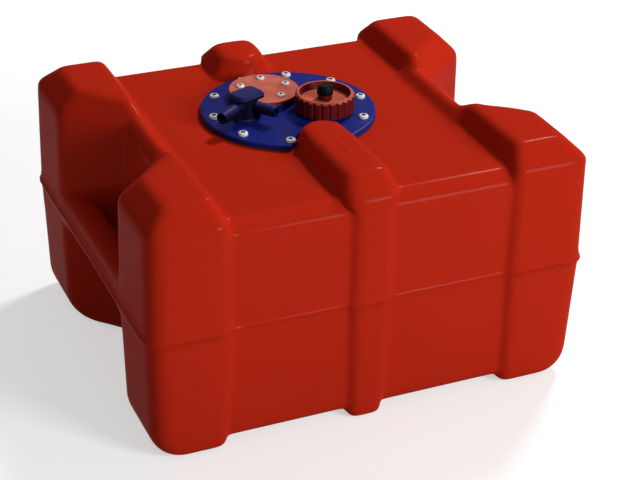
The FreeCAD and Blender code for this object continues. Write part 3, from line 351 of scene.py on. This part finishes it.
def screw_blank(radius, height, shank, length):
    """A screw without its recess; its head stands on z = 0."""
    screw = bmesh.new()
    bmesh.ops.create_cone(screw, cap_ends=True, segments=40, radius1=radius, radius2=radius, depth=height)
    bmesh.ops.translate(screw, verts=screw.verts, vec=(0.0, 0.0, height / 2))
    rim = [edge for edge in screw.edges if all(vert.co.z > height * 0.9 for vert in edge.verts)]
    bmesh.ops.bevel(screw, geom=rim, offset=height * 0.62, offset_type="OFFSET", segments=4, profile=0.5,
                    affect="EDGES", material=-1)
    below = bmesh.ops.create_cone(screw, cap_ends=True, segments=24, radius1=shank, radius2=shank,
                                  depth=length)
    bmesh.ops.translate(screw, verts=below["verts"], vec=(0.0, 0.0, -length / 2 + 0.0002))
    return as_mesh(screw, "screw_blank")


def cross_punch(radius, height):
    """The cross that is sunk into a screw's head, narrower towards its tip."""
    cross = bmesh.new()
    for turn in (0.0, math.pi / 2):
        arm = bmesh.ops.create_cube(cross, size=1.0)["verts"]
        bmesh.ops.scale(cross, verts=arm, vec=(radius * 1.30, radius * 0.50, height))
        for vert in arm:
            if vert.co.z < 0.0:
                vert.co.x *= 0.45
                vert.co.y *= 0.45
        bmesh.ops.rotate(cross, verts=arm, cent=(0.0, 0.0, 0.0), matrix=Matrix.Rotation(turn, 3, "Z"))
    bmesh.ops.translate(cross, verts=cross.verts, vec=(0.0, 0.0, height * 0.92))
    mesh = as_mesh(cross, "cross_tool")
    punch = bpy.data.objects.new("cross_tool", mesh)
    bpy.context.scene.collection.objects.link(punch)
    mesh.materials.append(stainless_painted_glint)
    mesh.materials.append(recess_painted_shade)
    # The cross's faces take the near-black painted shade, which the cut leaves on the recess walls.
    for face in mesh.polygons:
        face.material_index = 1
    return punch


def pan_head_screw(radius, height, shank, length):
    """A pan-head screw that stands on z = 0, with a cross recess in its head."""
    mesh = screw_blank(radius, height, shank, length)
    punch = cross_punch(radius, height)
    mesh.materials.append(stainless_painted_glint)
    mesh.materials.append(recess_painted_shade)

    def cut_cross(piece):
        recess = piece.modifiers.new("recess", "BOOLEAN")
        recess.operation = "DIFFERENCE"
        recess.solver = "EXACT"
        recess.use_self = True
        recess.object = punch

    done = settled(mesh, "screw_cut", cut_cross)
    bpy.data.objects.remove(punch)
    return done


def screw_set(name, node, master, places, level):
    """The screws of one ring as one piece, each turned its own way."""
    ring = bmesh.new()
    for count, (x, y) in enumerate(places):
        before = len(ring.verts)
        ring.from_mesh(master)
        ring.verts.ensure_lookup_table()
        shaded_colour = ring.verts[before:]
        spin = Matrix.Rotation(0.7 + 1.3 * count, 3, "Z")
        bmesh.ops.rotate(ring, verts=shaded_colour, cent=(0.0, 0.0, 0.0), matrix=spin)
        bmesh.ops.translate(ring, verts=shaded_colour, vec=(x, y, level))
    mesh = as_mesh(ring, name)
    piece = bpy.data.objects.new(name, mesh)
    bpy.context.scene.collection.objects.link(piece)
    mesh.materials.append(stainless_painted_glint)
    mesh.materials.append(recess_painted_shade)
    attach(piece, "tank")
    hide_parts(node)


def round_places(middle, radius, start, step, count):
    """Points on a circle, from a start angle and by equal steps in degrees."""
    return [(middle[0] + radius * math.cos(math.radians(start + step * index)),
             middle[1] + radius * math.sin(math.radians(start + step * index))) for index in range(count)]


SCREW_HEAD_IN_CAD = 0.0032
plate_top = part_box("flange_screws")[1][2] - SCREW_HEAD_IN_CAD
flange_ring = round_places(FLANGE_MIDDLE, 0.0875, -38.7, 36.0, 9)
flange_screw = pan_head_screw(0.0056, 0.0034, 0.0029, 0.016)
screw_set("flange_screw_set", "flange_screws", flange_screw, flange_ring, plate_top)
finish_node("flange_screws", stainless_painted_glint)

# Level cover inserts and gasket.
# Small brass threads moulded into the pedestal of the sender's port, and a flat rubber ring
# that lies on it under the cover.

finish_node("level_cover_inserts", brass)
finish_node("level_cover_gasket", rubber)

# Level cover.
# The round blank cover of the sender's port, moulded in the same red nylon as the cap, with a
# painted salmon sheen on its upward faces where the light from above falls and painted shade on its sides.


def painted_top_light_group():
    """Painted light: a paler lit colour on faces that point up and a shaded colour on the sides, with a
    cloudy edge to the lit part.
    """
    group, given, wanted = new_group("painted_top_light", {"Shaded": "Color", "Lit": "Color"}, {"Colour": "Color"})
    facing = group.nodes.new("ShaderNodeNewGeometry")
    parts = group.nodes.new("ShaderNodeSeparateXYZ")
    group.links.new(facing.outputs["Normal"], parts.inputs[0])
    # Painted light: how far a face points up sets how much of the lit colour it takes.
    lit_side = remapped(group, parts.outputs["Z"], From_Min=0.35, From_Max=0.85)
    patches = remapped(group, noise(group, 60.0, 5.0), From_Min=0.30, From_Max=0.62, To_Min=0.62)
    lit_amount = combined(group, "MULTIPLY", lit_side, patches)
    group.links.new(mixed(group, lit_amount, given["Shaded"], given["Lit"]), wanted["Colour"])
    return group


PAINTED_TOP_LIGHT = painted_top_light_group()


def top_lit_plastic(name, shaded_colour, lit_colour, gloss, specular):
    """A moulded plastic with painted light: a paler painted sheen on its upper faces and painted shade on
    its sides.
    """
    material = plastic(name, shaded_colour, gloss, cloud=0.22, depth=0.00008, specular=specular)
    nodes, links = material.node_tree.nodes, material.node_tree.links
    top_light = nodes.new("ShaderNodeGroup")
    top_light.node_tree = PAINTED_TOP_LIGHT
    top_light.inputs["Shaded"].default_value = (*shaded_colour, 1.0)
    top_light.inputs["Lit"].default_value = (*lit_colour, 1.0)
    links.new(top_light.outputs["Colour"], nodes["skin"].inputs["Colour"])
    return material


# Painted light: dark red sides as shade and a salmon top as sheen.
port_red = top_lit_plastic("port_red", (0.22, 0.010, 0.012), (0.62, 0.140, 0.088), 0.55, 0.15)
finish_node("level_cover", port_red)

# Level cover screws.
# Five small stainless screws of the same kind as the plate's, on the usual circle of a level
# sender.

cover_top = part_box("level_cover")[1][2]
port_ring = round_places((-0.0216, 0.0618), 0.0273, 4.8, 72.0, 5)
# Like the plate's screws, these heads carry the painted white glint and the painted black shade in the
# recess.
cover_screw = pan_head_screw(0.0047, 0.0026, 0.0020, 0.012)
screw_set("cover_screw_set", "level_cover_screws", cover_screw, port_ring, cover_top)
finish_node("level_cover_screws", stainless_painted_glint)

# Outlet seal.
# A rubber ring between the plate and the foot of the fuel outlet.

finish_node("outlet_seal", rubber)

# Outlet head and its nut.
# A dark blue nylon moulding with two ribbed hose tails, its sides painted near black as shade and its
# upward faces a paler painted lit blue. Its stem passes through the plate and is clamped by a back
# nut of the same plastic.

# Painted light: near-black sides as shade and a paler blue top as lit faces.
outlet_blue = top_lit_plastic("outlet_blue", (0.0030, 0.0030, 0.022), (0.018, 0.018, 0.130), 0.45, 0.12)
finish_node("outlet_head", outlet_blue)
finish_node("outlet_nut", outlet_blue)

# Check ball.
# A polished steel ball that drops on its seat in the outlet's foot, so that the fuel line
# stays full.

finish_node("check_ball", metal("ball_steel", (0.80, 0.80, 0.79), 0.12))

# Outlet plug and its seal.
# A bevelled blue plug closes the top of the outlet head, on a small rubber ring in its groove.

# The plug takes the outlet's painted shade on its sides and painted lit blue on top.
finish_node("outlet_cap", outlet_blue)
finish_node("outlet_cap_seal", rubber)

# Pickup tube and strainer.
# A natural nylon tube is pushed on the outlet's nipple inside the tank, with a slotted
# strainer at its foot to keep dirt out of the fuel.

natural = plastic("pickup_natural", (0.70, 0.68, 0.58), 0.42, cloud=0.12)
finish_node("pickup_tube", natural)
finish_node("pickup_strainer", natural)

# Filler cap and its gasket.
# A thick red nylon moulding with a fluted skirt and a dished top, painted like the cover with a salmon
# sheen on its upward faces and dark shade on its sides. It screws on the plate's neck over a flat rubber
# ring.

finish_node("cap_gasket", rubber)
# Painted light: dark red sides as shade and a salmon top as sheen.
cap_red = top_lit_plastic("cap_red", (0.12, 0.005, 0.008), (0.66, 0.115, 0.066), 0.50, 0.15)
finish_node("filler_cap", cap_red)

# Vent screw and its seal.
# A black knob on a stem that screws into the cap's middle boss, and opens the vent over a
# small rubber ring.

finish_node("vent_seal", rubber)
finish_node("vent_screw", plastic("knob_black", (0.003, 0.003, 0.007), 0.42, cloud=0.2, specular=0.12))

# Studio floor.
# A plain white floor that shows the tank's shadow. It is white where the camera or a
# reflection sees it, and pale grey to the light.

FLOOR_DROP = 0.0006
FLOOR_GLOW = 0.55


def studio_white():
    """The floor's material."""
    material = bpy.data.materials.new("studio_floor")
    material.use_nodes = True
    tree = material.node_tree
    shader = tree.nodes["Principled BSDF"]
    shader.inputs["Base Color"].default_value = (0.62, 0.62, 0.62, 1.0)
    shader.inputs["Roughness"].default_value = 0.95
    shader.inputs["Specular IOR Level"].default_value = 0.0
    shader.inputs["Emission Color"].default_value = (1.0, 1.0, 1.0, 1.0)
    paths = tree.nodes.new("ShaderNodeLightPath")
    seen = combined(tree, "MAXIMUM", paths.outputs["Is Camera Ray"], paths.outputs["Is Glossy Ray"])
    seen = combined(tree, "MAXIMUM", seen, paths.outputs["Is Transmission Ray"])
    tree.links.new(combined(tree, "MULTIPLY", seen, FLOOR_GLOW), shader.inputs["Emission Strength"])
    return material


sheet = bmesh.new()
bmesh.ops.create_grid(sheet, x_segments=1, y_segments=1, size=6.0)
bmesh.ops.translate(sheet, verts=sheet.verts, vec=(0.0, 0.0, -FLOOR_DROP))
ground = bpy.data.objects.new("studio_floor", as_mesh(sheet, "studio_floor"))
bpy.context.scene.collection.objects.link(ground)
ground.data.materials.append(studio_white())

# Studio light.
# An even white surround, a small lamp above and behind to the right, and a broader one in
# front to the right.

world = bpy.data.worlds.new("studio")
bpy.context.scene.world = world
world.use_nodes = True
surround = world.node_tree.nodes["Background"]
surround.inputs["Color"].default_value = (1.0, 1.0, 1.0, 1.0)
surround.inputs["Strength"].default_value = 0.20


def lamp(name, place, size, watts):
    """A soft square lamp that points at the middle of the tank."""
    light = bpy.data.lights.new(name, "AREA")
    light.size = size
    light.energy = watts
    stand = bpy.data.objects.new(name, light)
    stand.location = place
    aim = Vector((0.0, 0.0, 0.15)) - Vector(place)
    stand.rotation_euler = aim.to_track_quat("-Z", "Y").to_euler()
    bpy.context.scene.collection.objects.link(stand)


lamp("lamp_back", (1.3, 0.9, 2.1), 0.4, 38.0)
lamp("lamp_front", (1.3, -2.5, 1.3), 0.9, 58.0)

# Camera.
# A long lens in front of the tank's left corner and above it, with the small tilt that the
# photographer had.

camera = bpy.data.cameras.new("camera")
camera.sensor_width = 36.0
camera.lens = 98.9
camera.clip_end = 50.0
tripod = bpy.data.objects.new("camera", camera)
right = Vector((0.9175, -0.3972, 0.0208)).normalized()
back = Vector((-0.3562, -0.7972, 0.4874)).normalized()
up = back.cross(right).normalized()
right = up.cross(back)
tripod.rotation_euler = Matrix((right, up, back)).transposed().to_euler()
tripod.location = (-0.7051, -1.6343, 1.1094)
bpy.context.scene.collection.objects.link(tripod)
bpy.context.scene.camera = tripod
bpy.context.scene.view_settings.view_transform = "Standard"
